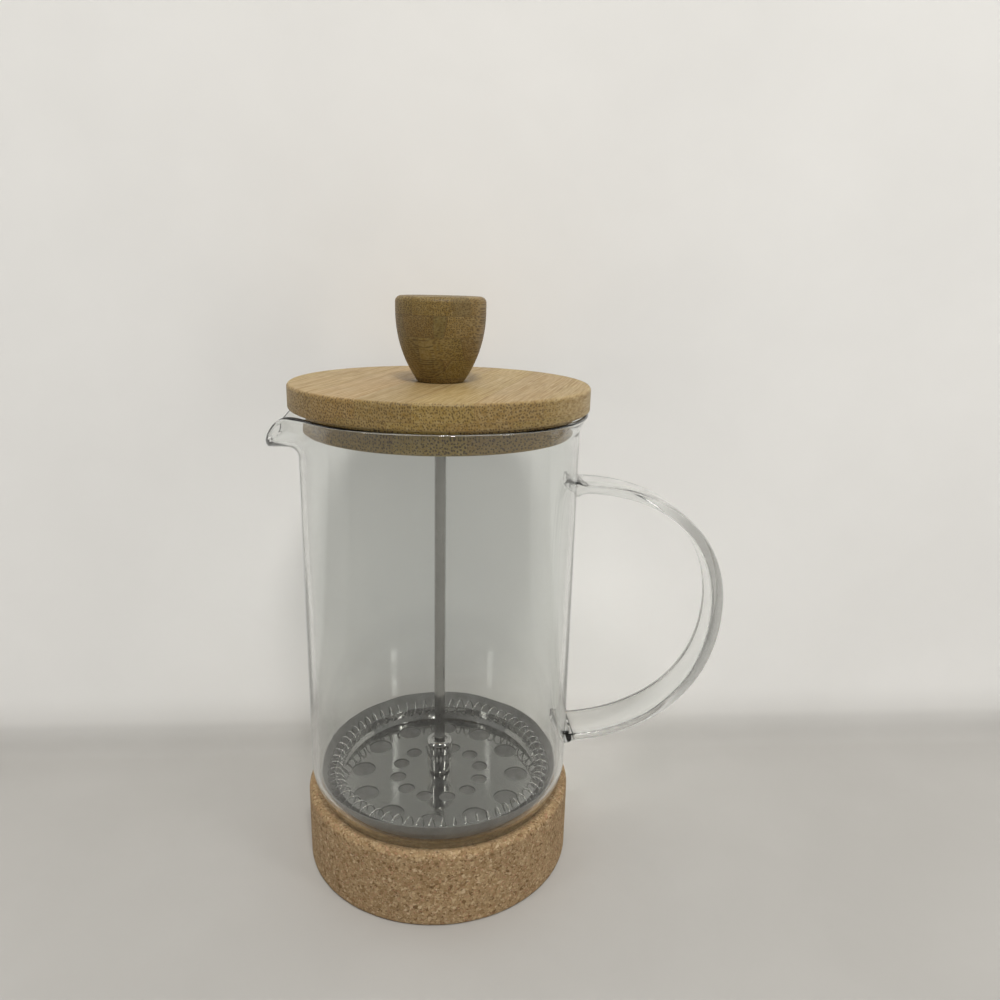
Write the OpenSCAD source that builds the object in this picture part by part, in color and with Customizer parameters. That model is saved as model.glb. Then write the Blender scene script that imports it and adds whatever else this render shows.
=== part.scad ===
// French press: borosilicate beaker with a welded strip handle, cork foot,
// two-step bamboo lid, bamboo knob, steel plunger with spring-edged filter.
// Millimetres. Z is the press axis, z = 0 is the face it stands on,
// +X points at the handle, -X at the spout.

/* [Beaker] */
// outer diameter of the glass tube
tube_od = 95; // [94.8:0.1:95.2]
// wall thickness of the glass
wall = 2.3; // [2.2:0.05:2.35]
// height of the glass rim above the table
rim_z = 168.8; // [168:0.1:168.9]
// radius of the flared rim
flare_r = 50; // [49.2:0.1:50.3]
// reach of the spout tip from the axis
spout_reach = 59.2; // [57:0.1:61]
// height of the spout tip
spout_tip_z = 156.6; // [155.6:0.1:158]

/* [Handle] */
// reach of the middle of the strip from the axis
handle_reach = 101.3; // [96:0.1:106]
// strip thickness
handle_t = 3; // [2.6:0.1:3.6]
// extra thickness half way round
handle_swell = 1.4; // [0:0.1:2]
// strip width at its ends
handle_w = 17.6; // [12:0.1:18]
// strip width half way round
handle_mid_w = 12.5; // [10:0.5:16]

/* [Cork foot] */
// outer diameter
cork_d = 98; // [97:0.5:102]
// height
cork_h = 28; // [26:0.5:30]

/* [Lid] */
// diameter of the lid disc
lid_d = 101; // [100.8:0.1:104]
// thickness of the lid disc
lid_t = 8.2; // [7:0.1:8.2]
// diameter of the stepped plug under it
plug_d = 89.8; // [87:0.2:90.4]
// depth of the plug
plug_h = 8; // [7:0.1:9]

/* [Knob] */
// widest radius
knob_r = 15; // [13:0.1:17]
// radius where it meets the lid
knob_foot_r = 8; // [7:0.1:9]
// height
knob_h = 27.8; // [24:0.1:32]

/* [Plunger] */
// rod diameter
rod_d = 4; // [4:0.1:4]
// largest diameter of the coupling sleeve
hub_d = 9.9; // [9:0.1:11]
// pitch radius and diameter of the outer ring of holes
hole_ring_r = 29.5; // [29:0.1:29.8]
hole_d = 9; // [7:0.1:9.4]
// pitch radius and diameter of the inner ring of holes
small_ring_r = 15.9; // [15.6:0.1:16.4]
small_hole_d = 6; // [4:0.1:6.4]
// turns of the edge spring
coils = 63; // [48:1:66]
// wire radius of the edge spring
wire_r = 0.25; // [0.2:0.01:0.28]

/* [Hidden] */
$fn = 96;
tube_r = tube_od / 2;
in_r = tube_r - wall;
glass_z = 19.55;               // underside of the glass, on the cork
cr = 18;                       // outer corner radius of the glass
ccr = tube_r - cr;             // radius of the corner's centre
ccz = glass_z + cr;
lid_z = 169.1;                 // underside of the lid disc
lid_top = lid_z + lid_t;
plug_z = lid_z - plug_h;
knob_z = lid_top + 0.1;
knob_top = knob_z + knob_h;
bush_r = 3.5;
rod_r = rod_d / 2;
rod_top = knob_z + 6.2;
rod_bot = 35;
hub_z = 28.5;
hub_top = 41.7;
plate_z = 26.8;
plate_t = 0.6;
crease_r = 37.3;
coil_r = 39.3;                 // circle the spring's coils are centred on
coil_z = 32.3;
coil_a = 2.85;                 // radius of one coil, to the wire's middle
mesh_cz = ccz + 1.4;           // the mesh follows the glass corner, 1.4 above it
mesh_ro = cr - wall - 0.35;
mesh_z = 26.35;
mesh_t = 0.35;
rim_top = 36.2;

// arc of radius r about (cx, cz) from angle a0 to a1, as n + 1 points
function arc(cx, cz, r, a0, a1, n) =
    [for (i = [0:n]) let(a = a0 + (a1 - a0) * i / n) [cx + r * cos(a), cz + r * sin(a)]];

// outer skin above the straight tube: height fraction t to [r, z]
neck_z = 146;
bead = wall / 2;
rim_e = rim_z - bead;
function rim_pt(t) =
    let(z = neck_z + (rim_e - neck_z) * t, u = max(0, (z - (rim_e - 6.5)) / 6.5))
    [tube_r + (flare_r - tube_r) * pow(u, 1.8), z];

// wall thickness above the straight tube
neck_thin = 1.0;
function wall_at(z) = wall - neck_thin * (z < 163 ? 1 : max(0, (rim_e - z) / (rim_e - 163)));

// turned from pressed cork: a shallow cup the round corner of the glass sits in
module cork_base() {
    ro = cork_d / 2;
    color([0.66, 0.47, 0.31])
    rotate_extrude()
        polygon(concat(
            [[0, 0], [ro - 1.2, 0]],
            arc(ro - 1.2, 1.2, 1.2, -72, 0, 4),
            arc(ro - 2, cork_h - 2, 2, 0, 90, 6),
            [[ccr + sqrt(pow(cr + 0.9, 2) - pow(ccz - cork_h, 2)), cork_h]],
            [for (i = [0:12]) let(a0 = -asin((ccz - cork_h + 0.5) / (cr + 0.3)), a = a0 + (-90 - a0) * i / 12)
                [ccr + (cr + 0.3) * cos(a), max(19.5, ccz + (cr + 0.3) * sin(a))]],
            [[0, 19.5]]));
}

// the spout is a round-nosed cone whose underside is level, cut off by the sloping lip
beak_a = 35;                    // half angle of the cone, and the tilt of its axis
beak_z = 154.6;                 // height of its underside
module nose(r, back) {
    // profile about its own axis: nose arc, flank, flat back
    rotate_extrude()
        polygon(concat(
            [[0, 0], [r * 0.2, 0]],
            [for (i = [1:6]) let(a = -90 + (90 - beak_a) * i / 6) [r * cos(a), r + r * sin(a)]],
            [[r * cos(beak_a) + back * sin(beak_a), r - r * sin(beak_a) + back * cos(beak_a)],
             [0, r - r * sin(beak_a) + back * cos(beak_a)]]));
}
module at_beak(r) {
    // centre of the nose sphere: reach and underside are those of the outer skin
    translate([-spout_reach + nose_r, 0, beak_z + nose_r])
        rotate([0, 90 - beak_a, 0]) rotate(143) translate([0, 0, -r]) children();
}
nose_r = 3.2;

// blown tube with a round corner, a flared fire-polished rim and a pulled spout
module glass_beaker() {
    color([0.86, 0.90, 0.89, 0.35])
    difference() {
        union() {
            rotate_extrude()
                polygon(concat(
                    [[0, glass_z]],
                    arc(ccr, ccz, cr, -90, 0, 12),
                    [for (i = [0:9]) rim_pt(0.7 + 0.3 * i / 9)],
                    arc(flare_r - bead, rim_e, bead, 30, 150, 4),
                    [for (i = [9:-1:0]) let(p = rim_pt(0.7 + 0.3 * i / 9)) p - [wall_at(p[1]), 0]],
                    [[in_r + neck_thin, 158], [in_r, neck_z]],
                    arc(ccr, ccz, cr - wall, 0, -90, 12),
                    [[0, glass_z + wall]]));
            // beak, from its tip back into the wall and up to the sloping lip
            difference() {
                at_beak(nose_r) nose(nose_r, 26);
                cylinder(r = in_r + neck_thin + 0.5, h = 400, center = true);
                lip_cut();
                translate([-150, -100, rim_e]) cube([200, 200, 100]);
            }
        }
        intersection() {
            at_beak(nose_r - 1.9) nose(nose_r - 1.9, 24);
            translate([-90, -60, 140]) cube([90 - in_r * cos(30), 120, 60]);
        }
    }
}
// everything above the lip, which slopes from the rim down to the tip
module lip_cut() {
    a = atan2(rim_e - 0.6 - spout_tip_z, spout_reach - 1.2 - tube_r - 0.6);
    translate([-spout_reach + 1.2, 0, spout_tip_z])
        rotate([0, -a, 0]) translate([-60, -60, 0]) cube([120, 120, 60]);
}

// handle: two Bezier halves that meet half way round
hz_mid = 95.95;
function unit2(v) = v / max(1e-9, norm(v));
function bez(p, t) = pow(1 - t, 3) * p[0] + 3 * pow(1 - t, 2) * t * p[1]
                   + 3 * (1 - t) * t * t * p[2] + pow(t, 3) * p[3];
top_c = [[46.3, 141.8], [78.2, 142.7], [handle_reach, 124.4], [handle_reach, hz_mid]];
bot_c = [[handle_reach, hz_mid], [handle_reach, 66.8], [80.5, 46.6], [46.3, 45.75]];
h_seg = 26;
function hp(i) = i <= h_seg ? bez(top_c, i / h_seg) : bez(bot_c, (i - h_seg) / h_seg);
function ht(i) = unit2(hp(min(2 * h_seg, i + 0.02)) - hp(max(0, i - 0.02)));
function h_end(i) = min(norm(hp(i) - hp(0)), norm(hp(i) - hp(2 * h_seg)));
h_sec = 16;
// rounded rectangle section, x across the thickness, y across the width
function sec(a, t, w) = let(r = t * 0.49, c = cos(a), s = sin(a))
    [c * r, s * r + (s >= 0 ? 1 : -1) * (w / 2 - r)];
function h_pt(i, j) =
    let(p = hp(i), d = ht(i), e = max(0, h_end(i) - 1.2),
        mid = sin(180 * i / (2 * h_seg)),
        t = handle_t + handle_swell * mid * mid + 2.4 * exp(-e * e / 2.4),
        w = handle_w + (handle_mid_w - handle_w) * mid * mid + 0.6 * exp(-e * e / 2.4),
        a = 360 * (j + 0.5) / h_sec, q = sec(a, t, w))
    [p[0] - d[1] * q[0], q[1], p[1] + d[0] * q[0]];

module glass_handle() {
    m = 2 * h_seg;
    color([0.86, 0.90, 0.89, 0.35])
    polyhedron(
        points = [for (i = [0:m]) for (j = [0:h_sec - 1]) h_pt(i, j)],
        convexity = 6,
        faces = concat(
            [[for (j = [0:h_sec - 1]) j]],
            [[for (j = [h_sec - 1:-1:0]) m * h_sec + j]],
            [for (i = [0:m - 1]) for (j = [0:h_sec - 1]) let(k = (j + 1) % h_sec) each
                [[i * h_sec + j, (i + 1) * h_sec + j, (i + 1) * h_sec + k],
                 [i * h_sec + j, (i + 1) * h_sec + k, i * h_sec + k]]]));
}

// bamboo disc that caps the rim
module lid_disc() {
    r = lid_d / 2;
    color([0.76, 0.60, 0.42])
    rotate_extrude()
        polygon(concat(
            [[bush_r + 0.06, lid_z], [r - 0.8, lid_z]],
            arc(r - 0.8, lid_z + 0.8, 0.8, -70, 0, 4),
            arc(r - 1.2, lid_top - 1.2, 1.2, 0, 90, 5),
            [[bush_r + 0.06, lid_top]]));
}

// smaller bamboo disc glued under it, drops inside the rim
module lid_plug() {
    r = plug_d / 2;
    color([0.62, 0.50, 0.37])
    rotate_extrude()
        polygon(concat(
            [[bush_r + 0.06, plug_z], [r - 1, plug_z]],
            arc(r - 1, plug_z + 1, 1, -70, 0, 4),
            [[r, lid_z - 0.02], [bush_r + 0.06, lid_z - 0.02]]));
}

// steel guide bush the rod runs in, flanged under the plug
module rod_bush() {
    color([0.72, 0.72, 0.72])
    rotate_extrude()
        polygon([[rod_r + 0.05, plug_z - 0.9], [bush_r + 2, plug_z - 0.9],
                 [bush_r + 2.2, plug_z - 0.7], [bush_r + 2.2, plug_z - 0.06],
                 [bush_r, plug_z - 0.06], [bush_r, lid_top - 0.1], [rod_r + 0.05, lid_top - 0.1]]);
}

// turned bamboo knob, narrow at the lid
module knob() {
    zs = knob_top - 3.6;
    color([0.60, 0.47, 0.33])
    rotate_extrude()
        polygon(concat(
            [[bush_r + 0.06, knob_z], [knob_foot_r - 0.2, knob_z]],
            [for (i = [0:16]) let(u = i / 16)
                [knob_foot_r + (knob_r - knob_foot_r) * (1 - pow(1 - u, 2.3)), knob_z + 0.3 + (zs - knob_z - 0.3) * u]],
            arc(knob_r - 2, knob_top - 2, 2, 0, 90, 7),
            [[0, knob_top], [0, knob_z + 14.3], [bush_r + 0.06, knob_z + 14.3]]));
}

// brass insert in the knob, threaded on the end of the rod
module knob_insert() {
    color([0.72, 0.60, 0.32])
    rotate_extrude()
        polygon([[rod_r + 0.05, knob_z + 0.1], [bush_r - 0.3, knob_z + 0.1], [bush_r, knob_z + 0.4],
                 [bush_r, knob_z + 13.7], [bush_r - 0.3, knob_z + 14], [rod_r + 0.05, knob_z + 14]]);
}

module plunger_rod() {
    color([0.75, 0.75, 0.76])
    rotate_extrude()
        polygon([[0, rod_bot], [rod_r - 0.3, rod_bot], [rod_r, rod_bot + 0.3],
                 [rod_r, rod_top - 0.5], [rod_r - 0.4, rod_top], [0, rod_top]]);
}

// coupling sleeve: the rod screws in from above, the cross plate's stud from below
module hub() {
    r = hub_d / 2;
    color([0.75, 0.75, 0.76])
    rotate_extrude()
        polygon(concat(
            [[rod_r + 0.05, hub_z], [r - 1.6, hub_z], [r - 0.9, hub_z + 0.5], [r - 0.35, hub_z + 2.4],
             [r - 0.15, hub_z + 4.5], [r, hub_z + 8], [r, hub_top - 1.3], [r - 0.25, hub_top - 0.6],
             [r - 0.9, hub_top], [rod_r + 1.05, hub_top], [rod_r + 1.05, hub_top - 1.2],
             [rod_r + 0.03, hub_top - 1.2], [rod_r + 0.03, 34.4], [rod_r + 0.05, 34.2]]));
}

// polished plate: domed middle, two rings of holes, upturned edge pierced for the spring
dome_r = 11;
dome_h = 1.1;
module spring_plate() {
    sr = (dome_r * dome_r + dome_h * dome_h) / (2 * dome_h);
    zt = plate_z + plate_t;
    da = asin(dome_r / sr);
    fz = 31.8;
    color([0.80, 0.80, 0.80])
    difference() {
        rotate_extrude()
            polygon(concat(
                [for (i = [0:8]) let(a = 3 + (da - 3) * i / 8) [sr * sin(a), plate_z + dome_h - sr * (1 - cos(a))]],
                [[crease_r + 0.2, plate_z], [coil_r + 0.25, plate_z + 2], [coil_r + 0.25, fz],
                 [coil_r - 0.25, fz], [coil_r - 0.25, zt + 1.9], [crease_r, zt]],
                [for (i = [8:-1:0]) let(a = 3 + (da - 3) * i / 8) [sr * sin(a), zt + dome_h - sr * (1 - cos(a))]]));
        for (k = [0:11]) {
            rotate(25 + 30 * k) translate([hole_ring_r, 0, plate_z - 1]) cylinder(d = hole_d, h = 3, $fn = 48);
            rotate(10 + 30 * k) translate([small_ring_r, 0, plate_z - 1]) cylinder(d = small_hole_d, h = 3, $fn = 40);
        }
        for (k = [0:coils - 1])
            rotate(360 * k / coils) translate([coil_r - 1.5, 0, coil_z - coil_a + 0.05])
                rotate([0, 90, 0]) cylinder(r = 0.62, h = 3, $fn = 16);
    }
}

// closed coil laced through the plate's edge: it pushes the mesh against the glass
coil_seg = 12;
module edge_spring() {
    n = coils * coil_seg;
    // wire centre: the coil angle is -90 (bottom) where it goes through a hole
    pts = [for (i = [0:n - 1]) for (j = [0:3])
        let(th = 360 * i / n, a = -90 + 360 * i / coil_seg, c = 45 + 90 * j,
            rr = coil_a + wire_r * cos(c), sh = wire_r * sin(c) / coil_r * 57.2958,
            r = coil_r + rr * cos(a), z = coil_z + rr * sin(a))
        [r * cos(th + sh), r * sin(th + sh), z]];
    color([0.70, 0.70, 0.70])
    polyhedron(points = pts, convexity = 10, faces = [for (i = [0:n - 1]) for (j = [0:3])
        let(b = (i + 1) % n, k = (j + 1) % 4) each
        [[i * 4 + j, i * 4 + k, b * 4 + k], [i * 4 + j, b * 4 + k, b * 4 + j]]]);
}

// woven steel screen with a turned-up skirt
module mesh_filter() {
    ri = mesh_ro - mesh_t;
    ao = asin((mesh_cz - mesh_z) / mesh_ro);
    bo = asin((mesh_cz - rim_top) / mesh_ro);
    ai = asin((mesh_cz - mesh_z - mesh_t) / ri);
    bi = asin((mesh_cz - rim_top) / ri);
    color([0.52, 0.52, 0.50])
    rotate_extrude()
        polygon(concat(
            [[4.1, mesh_z]],
            arc(ccr, mesh_cz, mesh_ro, -ao, -bo, 12),
            arc(ccr, mesh_cz, ri, -bi, -ai, 12),
            [[4.1, mesh_z + mesh_t]]));
}

// stamped ring in the middle of the screen
module mesh_eyelet() {
    color([0.70, 0.70, 0.70])
    rotate_extrude()
        polygon([[rod_r + 0.35, mesh_z - 0.01], [4.05, mesh_z - 0.01], [4.05, mesh_z + mesh_t + 0.03], [rod_r + 0.35, mesh_z + mesh_t + 0.03]]);
}

// stiff plate that clamps the screen, four arms and a rim
cross_t = 0.8;
module cross_plate() {
    color([0.72, 0.72, 0.72])
    translate([0, 0, mesh_z - 0.06 - cross_t])
    linear_extrude(cross_t)
    difference() {
        circle(r = 34, $fn = 120);
        circle(r = rod_r + 0.02, $fn = 48);
        difference() {
            circle(r = 29.5, $fn = 120);
            circle(r = 10, $fn = 96);
            square([80, 9], center = true);
            square([9, 80], center = true);
        }
    }
}

// stud fixed in the cross plate, screws up into the sleeve
module cross_stud() {
    z0 = mesh_z - 0.06 - cross_t;
    color([0.72, 0.72, 0.72])
    rotate_extrude()
        polygon([[0, z0 - 1], [3, z0 - 1], [3.8, z0 - 0.5], [3.8, z0], [rod_r, z0],
                 [rod_r, 33.3], [rod_r - 0.4, 33.8], [0, 33.8]]);
}

cork_base();
glass_beaker();
glass_handle();
lid_disc();
lid_plug();
rod_bush();
knob();
knob_insert();
plunger_rod();
hub();
spring_plate();
edge_spring();
mesh_filter();
mesh_eyelet();
cross_plate();
cross_stud();
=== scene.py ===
import math

import bpy
import bmesh
import numpy as np
from mathutils import Matrix, Vector, noise as mnoise


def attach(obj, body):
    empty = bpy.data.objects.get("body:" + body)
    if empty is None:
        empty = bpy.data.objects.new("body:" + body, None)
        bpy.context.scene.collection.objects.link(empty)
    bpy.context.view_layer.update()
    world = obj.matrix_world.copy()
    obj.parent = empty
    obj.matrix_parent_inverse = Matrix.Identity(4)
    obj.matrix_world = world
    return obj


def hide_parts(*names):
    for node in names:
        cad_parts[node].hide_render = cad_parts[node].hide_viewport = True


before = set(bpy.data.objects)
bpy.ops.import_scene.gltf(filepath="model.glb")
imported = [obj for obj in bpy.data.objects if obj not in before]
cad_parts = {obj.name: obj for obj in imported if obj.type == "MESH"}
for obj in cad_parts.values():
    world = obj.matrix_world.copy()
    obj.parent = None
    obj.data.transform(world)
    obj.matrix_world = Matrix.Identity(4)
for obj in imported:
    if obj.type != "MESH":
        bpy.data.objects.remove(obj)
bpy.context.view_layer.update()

MM = 0.001
scene = bpy.context.scene
scene.view_settings.view_transform = "Standard"
scene.view_settings.look = "None"

# ---------------------------------------------------------------- camera
yaw, pitch, roll = 0.0772, 0.2685, 0.0235
fwd = Vector((math.sin(yaw) * math.cos(pitch), math.cos(yaw) * math.cos(pitch), -math.sin(pitch)))
right = Vector((math.cos(yaw), -math.sin(yaw), 0.0))
up = right.cross(fwd)
r2 = math.cos(roll) * right + math.sin(roll) * up
u2 = -math.sin(roll) * right + math.cos(roll) * up
cam_data = bpy.data.cameras.new("camera")
cam = bpy.data.objects.new("camera", cam_data)
scene.collection.objects.link(cam)
cam_data.sensor_width = 36.0
cam_data.lens = 28.8
cam_data.clip_start, cam_data.clip_end = 0.01, 20.0
cam.matrix_world = Matrix((
    (r2.x, u2.x, -fwd.x, 0.0),
    (r2.y, u2.y, -fwd.y, -0.2715),
    (r2.z, u2.z, -fwd.z, 0.2107),
    (0.0, 0.0, 0.0, 1.0)))
scene.camera = cam


# ---------------------------------------------------------------- node helpers
class Mat:
    """A node material with short helpers; every value it takes may be a socket or a number."""

    def __init__(self, name):
        self.m = bpy.data.materials.new(name)
        self.m.use_nodes = True
        self.t = self.m.node_tree
        self.t.nodes.clear()
        self.out = self.t.nodes.new("ShaderNodeOutputMaterial")
        self.bsdf = self.t.nodes.new("ShaderNodeBsdfPrincipled")
        self.t.links.new(self.bsdf.outputs[0], self.out.inputs[0])
        self.tc = self.t.nodes.new("ShaderNodeTexCoord")

    def put(self, sock, v):
        if isinstance(v, bpy.types.NodeSocket):
            self.t.links.new(v, sock)
        elif isinstance(v, (tuple, list)) and len(v) == 3 and sock.type == "RGBA":
            sock.default_value = (*v, 1.0)
        else:
            sock.default_value = v

    def math(self, op, a, b=None, c=None, clamp=False):
        n = self.t.nodes.new("ShaderNodeMath")
        n.operation, n.use_clamp = op, clamp
        for i, v in enumerate((a, b, c)):
            if v is not None:
                self.put(n.inputs[i], v)
        return n.outputs[0]

    def vmath(self, op, a, b=None, scale=None):
        n = self.t.nodes.new("ShaderNodeVectorMath")
        n.operation = op
        self.put(n.inputs[0], a)
        if b is not None:
            self.put(n.inputs[1], b)
        if scale is not None:
            self.put(n.inputs["Scale"], scale)
        return n.outputs["Value"] if op in ("DOT_PRODUCT", "LENGTH") else n.outputs[0]

    def comb(self, x, y, z):
        n = self.t.nodes.new("ShaderNodeCombineXYZ")
        for i, v in enumerate((x, y, z)):
            self.put(n.inputs[i], v)
        return n.outputs[0]

    def sep(self, v):
        n = self.t.nodes.new("ShaderNodeSeparateXYZ")
        self.put(n.inputs[0], v)
        return n.outputs[0], n.outputs[1], n.outputs[2]

    def noise(self, vec, scale, detail=3.0, rough=0.5, dist=0.0):
        n = self.t.nodes.new("ShaderNodeTexNoise")
        n.noise_dimensions = "3D"
        self.put(n.inputs["Vector"], vec)
        self.put(n.inputs["Scale"], scale)
        self.put(n.inputs["Detail"], detail)
        self.put(n.inputs["Roughness"], rough)
        self.put(n.inputs["Distortion"], dist)
        return n.outputs[0]

    def vor(self, vec, scale, feature="F1", rand=1.0, out="Distance", smooth=None):
        n = self.t.nodes.new("ShaderNodeTexVoronoi")
        n.voronoi_dimensions, n.feature = "3D", feature
        self.put(n.inputs["Vector"], vec)
        self.put(n.inputs["Scale"], scale)
        self.put(n.inputs["Randomness"], rand)
        return n.outputs[out]

    def vor2(self, vec, scale, rand=1.0, out="Distance"):
        n = self.t.nodes.new("ShaderNodeTexVoronoi")
        n.voronoi_dimensions, n.feature = "2D", "F1"
        self.put(n.inputs["Vector"], vec)
        self.put(n.inputs["Scale"], scale)
        self.put(n.inputs["Randomness"], rand)
        return n.outputs[out]

    def white(self, vec, out="Value"):
        n = self.t.nodes.new("ShaderNodeTexWhiteNoise")
        n.noise_dimensions = "3D"
        self.put(n.inputs["Vector"], vec)
        return n.outputs[out]

    def rng(self, v, a, b, c=0.0, d=1.0, smooth=False):
        n = self.t.nodes.new("ShaderNodeMapRange")
        n.interpolation_type = "SMOOTHSTEP" if smooth else "LINEAR"
        n.clamp = True
        for i, x in enumerate((v, a, b, c, d)):
            self.put(n.inputs[i], x)
        return n.outputs[0]

    def mix(self, f, a, b, mode="MIX"):
        n = self.t.nodes.new("ShaderNodeMix")
        n.data_type, n.blend_type = "RGBA", mode
        n.clamp_factor = True
        self.put(n.inputs["Factor"], f)
        self.put(n.inputs[6], a)
        self.put(n.inputs[7], b)
        return n.outputs[2]

    def mixv(self, f, a, b):
        n = self.t.nodes.new("ShaderNodeMix")
        n.data_type = "VECTOR"
        self.put(n.inputs["Factor"], f)
        self.put(n.inputs[4], a)
        self.put(n.inputs[5], b)
        return n.outputs[1]

    def ramp(self, f, stops, mode="LINEAR"):
        n = self.t.nodes.new("ShaderNodeValToRGB")
        n.color_ramp.interpolation = mode
        e = n.color_ramp.elements
        while len(e) < len(stops):
            e.new(0.5)
        for el, (p, c) in zip(e, stops):
            el.position = p
            el.color = (*c, 1.0)
        self.put(n.inputs[0], f)
        return n.outputs[0]

    def hsv(self, col, h=0.5, s=1.0, v=1.0):
        n = self.t.nodes.new("ShaderNodeHueSaturation")
        self.put(n.inputs["Hue"], h)
        self.put(n.inputs["Saturation"], s)
        self.put(n.inputs["Value"], v)
        self.put(n.inputs["Color"], col)
        return n.outputs[0]

    def bump(self, height, dist_mm, strength=1.0, normal=None):
        n = self.t.nodes.new("ShaderNodeBump")
        n.inputs["Strength"].default_value = strength
        n.inputs["Distance"].default_value = dist_mm * MM
        self.put(n.inputs["Height"], height)
        if normal is not None:
            self.put(n.inputs["Normal"], normal)
        return n.outputs[0]

    def mm(self):
        return self.vmath("SCALE", self.tc.outputs["Object"], scale=1000.0)

    def set(self, **kw):
        for k, v in kw.items():
            self.put(self.bsdf.inputs[k.replace("_", " ")], v)
        return self.m


# ---------------------------------------------------------------- materials
def bamboo(name, fibre, seed, strip_w, layers, tint=(1.0, 1.0, 1.0), cell=(0.95, 1.25),
           bricks=False, end_dark=0.62, tone=(0.90, 1.10), fleck=0.72, least=0.0, deep=1.0):
    """Laminated bamboo: strips glued side by side, with fibre bundles that show as flecks where the
    surface cuts across them and as fine streaks where it runs along them. layers are glue line heights in mm."""
    M = Mat(name)
    P = M.mm()
    a = math.radians(fibre)
    F, W = (math.cos(a), math.sin(a), 0.0), (-math.sin(a), math.cos(a), 0.0)
    sway = M.noise(P, 0.035, 1.0)
    f = M.vmath("DOT_PRODUCT", P, F)
    w = M.math("ADD", M.vmath("DOT_PRODUCT", P, W), M.math("MULTIPLY", M.math("SUBTRACT", sway, 0.5), 1.6))
    _, _, z = M.sep(P)
    # which layer: the count of glue lines below this height
    layer = 0.0
    gz = 9.0
    for h in layers:
        layer = M.math("ADD", M.math("GREATER_THAN", z, h), layer)
        gz = M.math("MINIMUM", M.math("ABSOLUTE", M.math("SUBTRACT", z, h)), gz)
    shift = M.math("MULTIPLY", layer, strip_w * 0.43)
    n_obj = M.tc.outputs["Normal"]
    e1 = M.math("ABSOLUTE", M.vmath("DOT_PRODUCT", n_obj, F))
    if bricks:
        # blocks along both directions; some are laid with their fibres crosswise
        bw = M.math("DIVIDE", M.math("ADD", w, shift), strip_w)
        bf = M.math("DIVIDE", M.math("ADD", f, M.math("MULTIPLY", layer, strip_w * 0.71)), strip_w * 1.15)
        ids = M.comb(M.math("FLOOR", bw), M.math("FLOOR", bf), M.math("ADD", layer, seed))
        rnd = M.white(ids)
        rcol = M.white(ids, "Color")
        cross = M.math("GREATER_THAN", rnd, 0.62)
        e2 = M.math("ABSOLUTE", M.vmath("DOT_PRODUCT", n_obj, W))
        e = M.math("ADD", M.math("MULTIPLY", e1, M.math("SUBTRACT", 1.0, cross)), M.math("MULTIPLY", e2, cross))
        va = M.comb(M.math("DIVIDE", w, cell[0]), M.math("DIVIDE", z, cell[1]), M.math("DIVIDE", f, 26.0))
        vb = M.comb(M.math("DIVIDE", f, cell[0]), M.math("DIVIDE", z, cell[1]), M.math("DIVIDE", w, 26.0))
        vec = M.mixv(cross, va, vb)
        gw = M.math("MULTIPLY", M.math("ABSOLUTE", M.math("SUBTRACT", M.math("FRACT", M.math("ADD", bw, 0.5)), 0.5)), strip_w)
        gf = M.math("MULTIPLY", M.math("ABSOLUTE", M.math("SUBTRACT", M.math("FRACT", M.math("ADD", bf, 0.5)), 0.5)), strip_w * 1.15)
        gw = M.math("MINIMUM", gw, gf)
    else:
        bw = M.math("DIVIDE", M.math("ADD", w, shift), strip_w)
        ids = M.comb(M.math("FLOOR", bw), layer, seed)
        rnd = M.white(ids)
        rcol = M.white(ids, "Color")
        e = e1
        vec = M.comb(M.math("DIVIDE", w, cell[0]), M.math("DIVIDE", z, cell[1]), M.math("DIVIDE", f, 26.0))
        gw = M.math("MULTIPLY", M.math("ABSOLUTE", M.math("SUBTRACT", M.math("FRACT", M.math("ADD", bw, 0.5)), 0.5)), strip_w)
    end = M.math("MAXIMUM", M.rng(e, 0.12, 0.78, smooth=True), least)
    # bundles sit closer together towards the skin side of each strip
    across = M.math("FRACT", bw)
    vec = M.vmath("ADD", vec, M.vmath("SCALE", rcol, scale=37.0))
    wob = M.vmath("SCALE", M.vmath("SUBTRACT", M.noise(vec, 0.7, 2.0), (0.5, 0.5, 0.5)), scale=1.1)
    d = M.vor2(M.vmath("ADD", vec, wob), 1.0, rand=0.72)
    width = M.rng(across, 0.0, 1.0, 0.47, 0.38)
    bundle = M.rng(d, width, M.math("SUBTRACT", width, 0.28), smooth=True)
    halo = M.rng(d, 0.62, 0.3, smooth=True)
    fine = M.noise(M.comb(M.math("MULTIPLY", w, 4.2), M.math("MULTIPLY", z, 4.2), M.math("MULTIPLY", f, 0.16)), 1.0, 4.0, 0.62)
    streak = M.noise(M.comb(M.math("MULTIPLY", w, 0.75), M.math("MULTIPLY", z, 0.75), M.math("MULTIPLY", f, 0.035)), 1.0, 3.0, 0.6)
    blot = M.noise(P, 0.045, 3.0, 0.5)
    T = tint
    pale = (0.530 * T[0], 0.405 * T[1], 0.210 * T[2])
    warm = (0.385 * T[0], 0.262 * T[1], 0.100 * T[2])
    dark = (0.105 * T[0] * deep, 0.062 * T[1] * deep, 0.022 * T[2] * deep)
    base = M.mix(M.rng(streak, 0.32, 0.68), pale, warm)
    base = M.mix(M.rng(fine, 0.35, 0.75, 0.0, 0.34), base, (0.30 * T[0], 0.19 * T[1], 0.075 * T[2]))
    base = M.mix(M.rng(blot, 0.35, 0.7, 0.0, 0.28), base, (0.52 * T[0], 0.34 * T[1], 0.135 * T[2]))
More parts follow.
